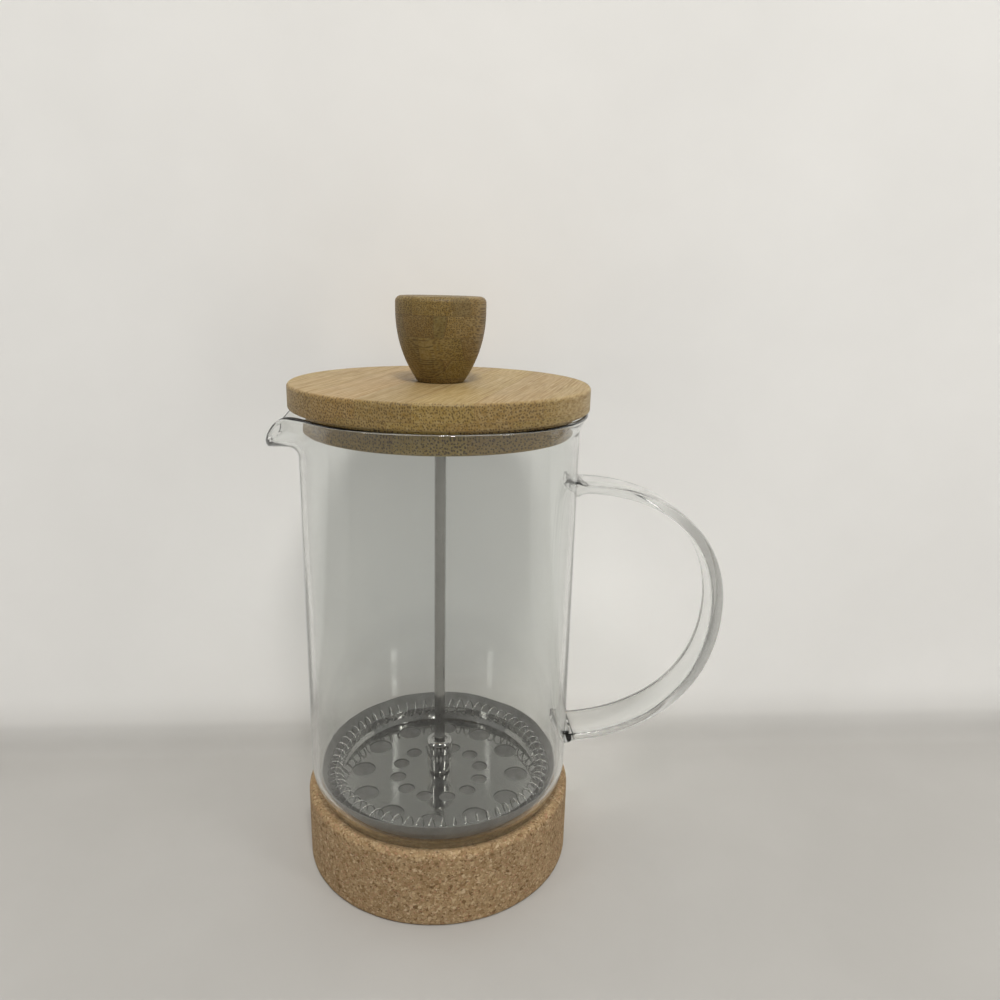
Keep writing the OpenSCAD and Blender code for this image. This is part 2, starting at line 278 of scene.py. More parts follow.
    # along the fibres: streaks; across them: a darker ground with near black brown flecks
    dash = M.noise(M.comb(M.math("MULTIPLY", w, 1.5), M.math("MULTIPLY", z, 1.5), M.math("MULTIPLY", f, 0.11)), 1.0, 2.0, 0.55)
    base = M.mix(M.rng(dash, 0.52, 0.64, 0.0, 0.55), base, (0.30 * T[0], 0.185 * T[1], 0.065 * T[2]))
    base = M.mix(M.rng(dash, 0.46, 0.34, 0.0, 0.42), base, (0.60 * T[0], 0.475 * T[1], 0.27 * T[2]))
    along = M.mix(M.math("MULTIPLY", bundle, 0.34), base, (0.26 * T[0], 0.155 * T[1], 0.055 * T[2]))
    ground = M.mix(M.math("MULTIPLY", halo, 0.25), base, (0.60 * T[0], 0.44 * T[1], 0.20 * T[2]))
    ground = M.hsv(ground, v=end_dark, s=1.14)
    cut = M.mix(M.math("MULTIPLY", bundle, fleck), ground, dark)
    col = M.mix(end, along, cut)
    col = M.hsv(col, h=M.rng(rnd, 0.0, 1.0, 0.494, 0.506), v=M.rng(M.white(M.vmath("ADD", ids, (3.1, 7.7, 1.3))), 0.0, 1.0, tone[0], tone[1]))
    line = M.math("MAXIMUM", M.rng(gw, 0.12, 0.03), M.rng(gz, 0.13, 0.04))
    col = M.mix(M.math("MULTIPLY", line, 0.62 if bricks else 0.42), col, (0.16 * T[0], 0.095 * T[1], 0.04 * T[2]))
    # handling: a little grime where it is touched
    wear = M.rng(M.noise(P, 0.16, 4.0, 0.65), 0.5, 0.8, 0.0, 0.16)
    col = M.mix(wear, col, (0.22 * T[0], 0.15 * T[1], 0.08 * T[2]))
    rough = M.math("ADD", M.rng(fine, 0.2, 0.8, 0.40, 0.56), M.math("MULTIPLY", bundle, 0.10))
    height = M.math("SUBTRACT", M.math("MULTIPLY", fine, 0.6), M.math("ADD", M.math("MULTIPLY", bundle, 0.7), M.math("MULTIPLY", line, 0.8)))
    nrm = M.bump(height, 0.045, 0.7)
    return M.set(Base_Color=col, Roughness=rough, Normal=nrm, Specular_IOR_Level=0.42)


def cork_material():
    M = Mat("cork_granulate")
    P = M.mm()
    wob = M.vmath("SCALE", M.vmath("SUBTRACT", M.noise(P, 1.3, 3.0, 0.6), (0.5, 0.5, 0.5)), scale=0.9)
    n = M.t.nodes.new("ShaderNodeTexNoise")
    n.noise_dimensions = "3D"
    M.put(n.inputs["Vector"], P)
    n.inputs["Scale"].default_value = 1.1
    n.inputs["Detail"].default_value = 3.0
    wobv = M.vmath("SCALE", M.vmath("SUBTRACT", n.outputs["Color"], (0.5, 0.5, 0.5)), scale=0.9)
    Q = M.vmath("ADD", P, wobv)
    c1 = M.vor(Q, 0.98, out="Color")
    e1 = M.vor(Q, 0.98, "DISTANCE_TO_EDGE")
    c2 = M.vor(Q, 2.0, out="Color")
    e2 = M.vor(Q, 2.0, "DISTANCE_TO_EDGE")
    r1, g1, b1 = M.sep(c1)
    s1, g2, b2 = M.sep(c2)
    big = M.math("GREATER_THAN", b1, 0.52)
    tones = [(0.0, (0.200, 0.118, 0.052)), (0.10, (0.315, 0.200, 0.096)), (0.30, (0.395, 0.264, 0.134)),
             (0.58, (0.455, 0.314, 0.166)), (0.84, (0.545, 0.392, 0.222)), (1.0, (0.640, 0.490, 0.310))]
    ca = M.ramp(r1, tones)
    cb = M.ramp(s1, tones)
    col = M.mix(big, cb, ca)
    # a few pinkish granules
    col = M.mix(M.math("MULTIPLY", M.math("GREATER_THAN", g2, 0.90), 0.55), col, (0.520, 0.265, 0.165))
    edge = M.mixv(big, M.comb(e2, 0, 0), M.comb(e1, 0, 0))
    ex, _, _ = M.sep(edge)
    seam = M.rng(ex, 0.10, 0.01)
    col = M.mix(M.math("MULTIPLY", seam, 0.26), col, (0.205, 0.115, 0.052))
    grainn = M.noise(P, 3.4, 4.0, 0.7)
    col = M.hsv(col, v=M.rng(grainn, 0.25, 0.75, 0.84, 1.14))
    # lenticels and bark flecks
    fleck = M.vor(M.vmath("ADD", M.vmath("MULTIPLY", P, (1.0, 1.0, 1.35)), wobv), 0.52, rand=1.0)
    fr, fg, fb = M.sep(M.vor(M.vmath("ADD", M.vmath("MULTIPLY", P, (1.0, 1.0, 1.35)), wobv), 0.52, out="Color"))
    pit = M.math("MULTIPLY", M.rng(fleck, 0.30, 0.16), M.math("GREATER_THAN", fr, 0.62))
    col = M.mix(M.math("MULTIPLY", pit, 0.62), col, (0.125, 0.066, 0.030))
    blot = M.noise(P, 0.05, 2.0)
    col = M.hsv(col, v=M.rng(blot, 0.3, 0.7, 0.94, 1.06))
    height = M.math("SUBTRACT", M.math("ADD", M.math("MULTIPLY", grainn, 0.55), M.math("MULTIPLY", r1, 0.35)),
                    M.math("ADD", M.math("MULTIPLY", seam, 0.7), M.math("MULTIPLY", pit, 1.2)))
    nrm = M.bump(height, 0.13, 0.85)
    rough = M.rng(grainn, 0.2, 0.8, 0.78, 0.95)
    return M.set(Base_Color=col, Roughness=rough, Normal=nrm, Specular_IOR_Level=0.3)


def steel(name, base=(0.60, 0.59, 0.575), rough=(0.07, 0.16), streak=(1.0, 1.0, 1.0), bump=0.004, grime=0.10, radial=False):
    """Polished or drawn stainless steel with fine scratches, haze and faint tarnish; streak stretches the scratches."""
    M = Mat(name)
    P = M.mm()
    S = M.vmath("MULTIPLY", P, streak)
    fine = M.noise(S, 5.5, 4.0, 0.7)
    haze = M.noise(P, 0.22, 4.0, 0.6)
    tarn = M.noise(P, 0.55, 3.0, 0.6)
    col = M.mix(M.rng(haze, 0.35, 0.75, 0.0, grime * 2), base, tuple(c * 0.72 for c in base))
    col = M.mix(M.rng(tarn, 0.58, 0.82, 0.0, grime * 2), col, (base[0] * 0.78, base[1] * 0.72, base[2] * 0.62))
    r = M.math("ADD", M.rng(fine, 0.3, 0.75, rough[0], rough[1]), M.rng(haze, 0.45, 0.8, 0.0, 0.06))
    scr = M.vor(M.vmath("MULTIPLY", P, tuple(s * q for s, q in zip(streak, (1.0, 0.07, 1.0)))), 2.2, "DISTANCE_TO_EDGE")
    scratch = M.rng(scr, 0.018, 0.0)
    h = M.math("SUBTRACT", M.math("MULTIPLY", fine, 0.5), M.math("MULTIPLY", scratch, 0.35))
    nrm = M.bump(h, bump, 0.6)
    return M.set(Base_Color=col, Metallic=1.0, Roughness=r, Normal=nrm)


def woven(name):
    """Plain weave of fine steel wire; the pattern follows the mesh's own UVs, in mm."""
    M = Mat(name)
    uv = M.t.nodes.new("ShaderNodeUVMap")
    uv.uv_map = "UVMap"
    u, v, _ = M.sep(uv.outputs[0])
    pitch_mm = 0.34
    k = math.pi / pitch_mm
    P = M.mm()
    wob = M.math("MULTIPLY", M.math("SUBTRACT", M.noise(P, 0.12, 2.0), 0.5), 0.5)
    cu = M.math("COSINE", M.math("MULTIPLY", M.math("ADD", u, wob), k))
    cv = M.math("COSINE", M.math("MULTIPLY", M.math("ADD", v, wob), k))
    x = M.math("MULTIPLY", M.math("MULTIPLY", cu, cv), 0.34)
    h1 = M.math("ADD", M.math("ABSOLUTE", cu), x)
    h2 = M.math("SUBTRACT", M.math("ABSOLUTE", cv), x)
    h = M.math("MAXIMUM", h1, h2)
    # The openings of the weave are painted near black. This is painted shade for the dim inside of the screen seen
    # through the gaps.
    weave_gap_shade = M.rng(h, 0.62, 0.40)
    haze = M.noise(P, 0.18, 3.0, 0.6)
    base = M.mix(M.rng(haze, 0.3, 0.75), (0.36, 0.356, 0.342), (0.25, 0.246, 0.234))
    col = M.mix(M.math("MULTIPLY", weave_gap_shade, 0.55), base, (0.09, 0.09, 0.085))
    rough = M.math("ADD", M.rng(haze, 0.3, 0.8, 0.36, 0.5), M.math("MULTIPLY", weave_gap_shade, 0.25))
    nrm = M.bump(h, 0.10, 0.8)
    return M.set(Base_Color=col, Metallic=0.92, Roughness=rough, Normal=nrm)


def glass_material():
    M = Mat("borosilicate_glass")
    P = M.mm()
    h = M.noise(M.vmath("MULTIPLY", P, (1.0, 1.0, 0.25)), 0.055, 2.0, 0.4)
    px, _, _ = M.sep(P)
    bow = M.rng(px, 49.0, 54.0)
    h = M.math("MULTIPLY", h, M.math("SUBTRACT", 1.0, M.math("MULTIPLY", bow, 0.85)))
    nrm = M.bump(h, 0.16, 0.35)
    _, ny, _ = M.sep(M.tc.outputs["Normal"])
    # Painted shade: the whole glass is tinted grey, and the handle's narrow edge faces (the cut mask) are painted a
    # darker grey. Both stand in for dark surroundings seen in and through the glass.
    cut = M.math("MULTIPLY", M.rng(M.math("ABSOLUTE", ny), 0.75, 0.95, smooth=True), M.rng(px, 76.0, 93.0, smooth=True))
    col = M.mix(cut, (0.918, 0.930, 0.922), (0.56, 0.565, 0.555))
    M.set(Base_Color=col, Roughness=M.math("MULTIPLY", cut, 0.22), IOR=1.474, Transmission_Weight=1.0, Normal=nrm)
    lp = M.t.nodes.new("ShaderNodeLightPath")
    tr = M.t.nodes.new("ShaderNodeBsdfTransparent")
    tr.inputs[0].default_value = (0.865, 0.876, 0.870, 1.0)
    mx = M.t.nodes.new("ShaderNodeMixShader")
    M.t.links.new(lp.outputs["Is Shadow Ray"], mx.inputs[0])
    M.t.links.new(M.bsdf.outputs[0], mx.inputs[1])
    M.t.links.new(tr.outputs[0], mx.inputs[2])
    M.t.links.new(mx.outputs[0], M.out.inputs[0])
    return M.m


MAT = {
    "cork": cork_material(),
    "disc": bamboo("bamboo_disc", 72.0, 3.0, 17.0, [171.6], cell=(0.74, 0.98), end_dark=0.72, fleck=0.84, deep=0.95),
    "plug": bamboo("bamboo_plug", 72.0, 9.0, 21.0, [], tint=(0.88, 0.88, 0.78), cell=(0.84, 1.10), end_dark=0.78, fleck=0.94, least=0.6, deep=0.6),
    "knob": bamboo("bamboo_knob", 66.0, 27.0, 13.0, [178.9, 185.35, 192.55, 199.3], tint=(0.60, 0.60, 0.54),
                   cell=(0.58, 0.68), bricks=True, end_dark=0.86, tone=(0.78, 1.08), fleck=0.82, least=0.72, deep=0.8),
    "glass": glass_material(),
    # The mirror plate and the drawn rod get base colours well below bare stainless steel. This is painted shade
    # standing in for the dark room they would reflect.
    "plate": steel("steel_mirror", (0.39, 0.388, 0.373), (0.03, 0.08), (1.0, 0.22, 1.0), 0.004, 0.08),
    "rod": steel("steel_drawn", (0.36, 0.356, 0.342), (0.09, 0.17), (1.0, 1.0, 0.06), 0.006),
    "hub": steel("steel_chromed", (0.60, 0.595, 0.58), (0.02, 0.05), (0.5, 0.5, 1.6), 0.003, 0.05),
    "coil": steel("steel_spring_wire", (0.72, 0.715, 0.70), (0.05, 0.12), (1.0, 1.0, 1.0), 0.006),
    "stamped": steel("steel_stamped", (0.56, 0.555, 0.54), (0.16, 0.30), (1.0, 0.3, 1.0), 0.008),
    "brass": steel("brass_turned", (0.66, 0.50, 0.24), (0.14, 0.26), (1.0, 1.0, 3.0), 0.008),
    "mesh": woven("steel_woven"),
}


# ---------------------------------------------------------------- mesh helpers
def arc(cx, cz, r, a0, a1, n):
    return [(cx + r * math.cos(math.radians(a0 + (a1 - a0) * i / n)),
             cz + r * math.sin(math.radians(a0 + (a1 - a0) * i / n))) for i in range(n + 1)]


def ease(x):
    x = max(0.0, min(1.0, x))
    return x * x * (3 - 2 * x)


def link(name, mesh):
    o = bpy.data.objects.new(name, mesh)
    scene.collection.objects.link(o)
    return o


def soften(mesh, angle=32.0):
    """Smooth faces, with edges sharper than the angle kept crisp."""
    bm = bmesh.new()
    bm.from_mesh(mesh)
    for f in bm.faces:
        f.smooth = True
    lim = math.radians(angle)
    for e in bm.edges:
        e.smooth = len(e.link_faces) == 2 and e.calc_face_angle(0.0) < lim
    bm.to_mesh(mesh)
    bm.free()


def turned(name, prof, seg=160, angle=32.0, shift=None):
    """A solid of revolution from a closed outline of (r, z) in mm, counter-clockwise; points with r 0 share one vertex."""
    verts, rings = [], []
    for r, z in prof:
        if r < 1e-6:
            rings.append([len(verts)])
            verts.append((0.0, 0.0, z * MM))
        else:
            ring = []
            for j in range(seg):
                t = 2 * math.pi * j / seg
                x, y, zz = r * math.cos(t), r * math.sin(t), z
                if shift:
                    x, y, zz = shift(x, y, zz)
                ring.append(len(verts))
                verts.append((x * MM, y * MM, zz * MM))
            rings.append(ring)
    faces = []
    n = len(prof)
    for i in range(n):
        a, b = rings[i], rings[(i + 1) % n]
        if len(a) == 1 and len(b) == 1:
            continue
        for j in range(seg):
            k = (j + 1) % seg
            if len(a) == 1:
                faces.append((a[0], b[k], b[j]))
            elif len(b) == 1:
                faces.append((a[j], a[k], b[0]))
            else:
                faces.append((a[j], a[k], b[k], b[j]))
    me = bpy.data.meshes.new(name)
    me.from_pydata(verts, [], faces)
    me.update()
    soften(me, angle)
    return link(name, me)


def baked(o, name=None):
    """Applies an object's modifiers to its mesh."""
    dg = bpy.context.evaluated_depsgraph_get()
    me = bpy.data.meshes.new_from_object(o.evaluated_get(dg), depsgraph=dg)
    o.modifiers.clear()
    old = o.data
    o.data = me
    if isinstance(old, bpy.types.Mesh):
        bpy.data.meshes.remove(old)
    return o


def boolean(o, other, op):
    m = o.modifiers.new("b", "BOOLEAN")
    m.operation, m.object, m.solver = op, other, "EXACT"
    baked(o)
    bpy.data.meshes.remove(other.data)
    return o


def edged(o, width_mm, segs=2, angle=35.0):
    b = o.modifiers.new("edge", "BEVEL")
    b.width, b.segments, b.limit_method, b.angle_limit = width_mm * MM, segs, "ANGLE", math.radians(angle)
    b.use_clamp_overlap = True
    w = o.modifiers.new("normals", "WEIGHTED_NORMAL")
    w.keep_sharp = True
    baked(o)
    return o


def dress(o, mat, body, slot, *nodes):
    o.data.materials.clear()
    o.data.materials.append(MAT[mat])
    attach(o, body)
    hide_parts(*nodes)
    return o


# ---------------------------------------------------------------- cork foot
def make_cork():
    ro, h, ccr, ccz, cr = 49.0, 28.0, 29.5, 37.55, 18.0
    mouth = ccr + math.sqrt((cr + 0.9) ** 2 - (ccz - h) ** 2)
    a0 = -math.degrees(math.asin((ccz - h + 0.5) / (cr + 0.3)))
    seat = [(ccr + (cr + 0.3) * math.cos(math.radians(a0 + (-90 - a0) * i / 22)),
             max(19.5, ccz + (cr + 0.3) * math.sin(math.radians(a0 + (-90 - a0) * i / 22)))) for i in range(23)]
    side = [(ro, 1.2 + (h - 3.2) * i / 30) for i in range(1, 30)]
    prof = ([(0, 0.0), (20.0, 0.0), (40.0, 0.0), (ro - 1.2, 0.0)] + arc(ro - 1.2, 1.2, 1.2, -80, 0, 6) + side
            + arc(ro - 2, h - 2, 2.0, 0, 90, 9) + [((ro - 2 + mouth) / 2 + 0.0, h), (mouth + 0.25, h - 0.03), (mouth, h - 0.2)]
            + seat + [(20.0, 19.5), (0, 19.5)])

    def rough(x, y, z):
        r = math.hypot(x, y)
        if r < 30 or z < 0.05:
            return x, y, z
        g = mnoise.noise(Vector((x * 0.9, y * 0.9, z * 0.9))) * 0.05 + mnoise.noise(Vector((x * 2.3 + 7, y * 2.3, z * 2.3))) * 0.04
        chip = mnoise.noise(Vector((x * 0.55 + 31, y * 0.55, z * 0.55)))
        g -= max(0.0, chip - 0.52) * 0.9
        g = min(0.0, g - 0.05) if z < 27.5 else g * 0.5 - 0.04
        return x * (r + g) / r, y * (r + g) / r, z if z < 27.0 else z - abs(g) * 0.5

    o = turned("cork_foot", prof, 420, 60.0, rough)
    return dress(o, "cork", "base", "cork", "cork_base")


# ---------------------------------------------------------------- glass
def make_glass():
    wall, bead, neck, rim_e = 2.3, 1.15, 146.0, 167.65

    def rim_pt(t):
        z = neck + (rim_e - neck) * t
        u = max(0.0, (z - (rim_e - 6.5)) / 6.5)
        return 47.5 + 2.5 * u ** 1.8, z

    def wall_at(z):
        # the neck is blown thinner than the tube and beads up again at the rim
        if z < 158:
            return wall - max(0.0, (z - 60.0) / 98.0)
        return wall - 1.0 + 0.2 * ease((z - 163) / 4.0)

    def beak(t):
        s = 4 * t
        if s < 1.3:
            return 47.5, 146 + s / 1.3 * 6.2
        if s < 2.1:
            q = math.radians((s - 1.3) / 0.8 * 84)
            return 47.5 + 2.6 * (1 - math.cos(q)), 152.2 + 2.6 * math.sin(q)
        if s < 3.4:
            q = (s - 2.1) / 1.3
            return 49.85 + (57.2 - 49.85) * q, 154.8 - 0.15 * q
        q = math.radians((s - 3.4) / 0.6 * 80)
        return 57.2 + 1.42 * math.sin(q), 156.6 - 2 * math.cos(q)

    def kk(phi):
        p = abs(phi)
        return 0.0 if p >= 38 else (0.5 + 0.5 * math.cos(math.radians(180 * p / 38))) ** 1.03

    def skin(t, k):
        a, b = rim_pt(t), beak(t)
        return a[0] + (b[0] - a[0]) * k, a[1] + (b[1] - a[1]) * k ** 2.37

    def pair(t, k):
        c = skin(t, k)
        p, q = skin(min(1.0, t + 0.004), k), skin(max(0.0, t - 0.004), k)
        d = (p[0] - q[0], p[1] - q[1])
        n = math.hypot(*d) or 1.0
        d = (d[0] / n, d[1] / n)
        w = wall_at(rim_pt(t)[1]) + 0.4 * k * ease((t - 0.6) / 0.4)
        m = ease(2.5 * k)
        return c, (c[0] - (1 - m) * w - m * d[1] * w, c[1] + m * d[0] * w), d

    NT = 44
    ts = [i / NT for i in range(NT + 1)]

    def column(phi):
        k = kk(phi)
        out = [(12.0, 19.55), (22.0, 19.55)] + arc(29.5, 37.55, 18.0, -90, 0, 18)
        out += [(47.5, z) for z in (42, 48, 56, 60, 66, 78, 90, 102, 114, 126, 136, 142)]
        prs = [pair(t, k) for t in ts]
        out += [p[0] for p in prs]
        a, b, d = prs[-1]
        c = ((a[0] + b[0]) / 2, (a[1] + b[1]) / 2)
        rad = math.hypot(a[0] - b[0], a[1] - b[1]) / 2
        n = ((a[0] - b[0]) / (2 * rad), (a[1] - b[1]) / (2 * rad))
        # the cap leans the way the skin runs, at right angles to the wall's thickness
        d = (-n[1], n[0]) if (-n[1] * d[0] + n[0] * d[1]) > 0 else (n[1], -n[0])
        out += [(c[0] + rad * (math.cos(q) * n[0] + math.sin(q) * d[0]), c[1] + rad * (math.cos(q) * n[1] + math.sin(q) * d[1]))
                for q in (math.pi * i / 10 for i in range(1, 10))]
        out += [p[1] for p in reversed(prs)]
        out += [(47.5 - wall_at(z), z) for z in (142, 136, 126, 114, 102, 90, 78, 66, 60, 56, 48, 42)]
        out += arc(29.5, 37.55, 15.7, 0, -90, 18) + [(22.0, 21.85), (12.0, 21.85)]
        return out

    phis = [p * 0.8 for p in range(-50, 50)]
    p = 40.0
    while p < 319.9:
        phis.append(p)
        p += 1.25
    cols = [column((q + 180) % 360 - 180) for q in phis]
    n, m = len(cols), len(cols[0])
    verts = [(0.0, 0.0, 19.55 * MM), (0.0, 0.0, 21.85 * MM)]
    for q, col in zip(phis, cols):
        c, s = math.cos(math.radians(q)), math.sin(math.radians(q))
        for r, z in col:
            # drawn tube: the wall is never quite true
            g = 0.025 * mnoise.noise(Vector((r * c * 0.03, r * s * 0.03, z * 0.012))) if 40 < z < 150 else 0.0
            verts.append((-(r + g) * c * MM, -(r + g) * s * MM, z * MM))
    faces = []
    for i in range(n):
        j = (i + 1) % n
        A, B = 2 + i * m, 2 + j * m
        faces.append((0, B, A))
        for v in range(m - 1):
            faces.append((A + v, B + v, B + v + 1, A + v + 1))
        faces.append((A + m - 1, B + m - 1, 1))
    me = bpy.data.meshes.new("glass")
    me.from_pydata(verts, [], faces)
    me.update()
    beaker = link("glass_body", me)

    # handle: a strip of glass bent to a bow and welded to the wall at both ends
    top_c = [(46.3, 141.8), (78.2, 142.7), (101.3, 124.4), (101.3, 95.95)]
    bot_c = [(101.3, 95.95), (101.3, 66.8), (80.5, 46.6), (46.3, 45.75)]

    def bez(P, t):
        return tuple((1 - t) ** 3 * P[0][i] + 3 * (1 - t) ** 2 * t * P[1][i] + 3 * (1 - t) * t * t * P[2][i] + t ** 3 * P[3][i] for i in (0, 1))

    H = 90

    def hp(i):
        return bez(top_c, i / H) if i <= H else bez(bot_c, (i - H) / H)

    SEC = 32
    hv = []
    steps = [0.0, 0.3, 0.7, 1.2, 1.8, 2.6] + [3.4 + (2 * H - 6.8) * i / 150 for i in range(151)] + [2 * H - x for x in (2.6, 1.8, 1.2, 0.7, 0.3, 0.0)]
    for i in steps:
        p = hp(i)
        a, b = hp(max(0, i - 0.02)), hp(min(2 * H, i + 0.02))
        d = (b[0] - a[0], b[1] - a[1])
        L = math.hypot(*d)
        d = (d[0] / L, d[1] / L)
        e0 = min(math.hypot(p[0] - 46.3, p[1] - 141.8), math.hypot(p[0] - 46.3, p[1] - 45.75))
        e = max(0.0, e0 - 1.2)
        mid = math.sin(math.pi * i / (2 * H))
        pad = math.exp(-e * e / 2.4)
        t = 3 + 1.4 * mid * mid + 2.4 * pad
        w = 17.6 + (12.5 - 17.6) * mid * mid + 0.6 * pad
        t *= 1 + 0.03 * mnoise.noise(Vector((i * 0.11, 3.0, 0.0)))
        t = min(t, 2.82 + 1.4 * mid * mid + 2.4 * pad)
        w *= 1 + 0.012 * mnoise.noise(Vector((i * 0.07, 9.0, 0.0)))
        rc = 0.62 + 0.7 * pad
        for j in range(SEC):
            q = 2 * math.pi * (j + 0.5) / SEC
            c, s = math.cos(q), math.sin(q)
            # flat faces with small rounded corners
            qx = (1 if c > 0 else -1) * (t / 2 - rc) + rc * c
            qy = (1 if s > 0 else -1) * (w / 2 - rc) + rc * s
            hv.append(((p[0] - d[1] * qx) * MM, qy * MM, (p[1] + d[0] * qx) * MM))
    ns = len(steps)
    hf = [tuple(range(SEC)), tuple((ns - 1) * SEC + j for j in range(SEC - 1, -1, -1))]
    for i in range(ns - 1):
        for j in range(SEC):
            k = (j + 1) % SEC
            hf.append((i * SEC + j, (i + 1) * SEC + j, (i + 1) * SEC + k, i * SEC + k))
    hm = bpy.data.meshes.new("handle")
    hm.from_pydata(hv, [], hf)
    hm.update()
    handle = link("handle_tmp", hm)
    for o in (beaker, handle):
        bm = bmesh.new()
        bm.from_mesh(o.data)
        bmesh.ops.recalc_face_normals(bm, faces=bm.faces)
        bm.to_mesh(o.data)
        bm.free()
    boolean(beaker, handle, "UNION")
    soften(beaker.data, 48.0)
    return dress(beaker, "glass", "carafe", "glass", "glass_beaker", "glass_handle")


# ---------------------------------------------------------------- lid, knob
def make_lid():
    lz, lt = 169.1, 177.3
    disc = turned("lid_disc_bamboo", [(3.56, lz + 0.3), (3.86, lz)] + [(20.0, lz), (38.0, lz), (49.7, lz)] + arc(49.7, lz + 0.8, 0.8, -80, 0, 6)
                  + [(50.5, lz + 2.6), (50.5, lz + 5.0)] + arc(49.3, lt - 1.2, 1.2, 0, 90, 10)
                  + [(38.0, lt), (20.0, lt), (3.86, lt), (3.56, lt - 0.3)], 256)
    dress(disc, "disc", "lid", "bamboo", "lid_disc")
    pz, pt = 161.1, 169.08
    plug = turned("lid_plug_bamboo", [(3.56, pz + 0.3), (3.86, pz)] + [(20.0, pz), (43.9, pz)] + arc(43.9, pz + 1.0, 1.0, -80, 0, 7)
                  + [(44.9, pz + 4.0), (44.9, pt), (20.0, pt), (3.56, pt)], 240)
    dress(plug, "plug", "lid", "bamboo", "lid_plug")
    bush = turned("rod_guide", [(2.05, 160.35), (2.2, 160.2), (5.4, 160.2)] + arc(5.4, 160.5, 0.3, -70, 0, 3) + [(5.7, 161.0), (3.5, 161.04),
                  (3.5, 177.0), (3.35, 177.2), (2.2, 177.2), (2.05, 177.05)], 72)
    dress(bush, "stamped", "guide", "steel", "rod_bush")
    kz, kt = 177.4, 205.2
    zs = kt - 3.6
    side = []
    for i in range(49):
        u = i / 48
        side.append((8 + 7 * (1 - (1 - u) ** 2.3), kz + 0.3 + (zs - kz - 0.3) * u))
    knob = turned("knob_bamboo", [(3.56, kz + 0.25), (3.8, kz), (7.7, kz)] + side + arc(13.0, kt - 2.0, 2.0, 4, 90, 12)
                  + [(8.0, kt + 0.0), (0, kt), (0, kz + 14.3), (3.56, kz + 14.3)], 144)
    dress(knob, "knob", "grip", "bamboo_dark", "knob")
    ins = turned("knob_insert_brass", [(2.05, kz + 0.3), (2.25, kz + 0.1), (3.2, kz + 0.1), (3.5, kz + 0.4)]
                 + [(3.5 - (0.12 if i % 2 else 0.0), kz + 0.8 + i * 0.4) for i in range(32)]
                 + [(3.5, kz + 13.7), (3.2, kz + 14.0), (2.05, kz + 14.0)], 72)
    dress(ins, "brass", "insert", "brass", "knob_insert")


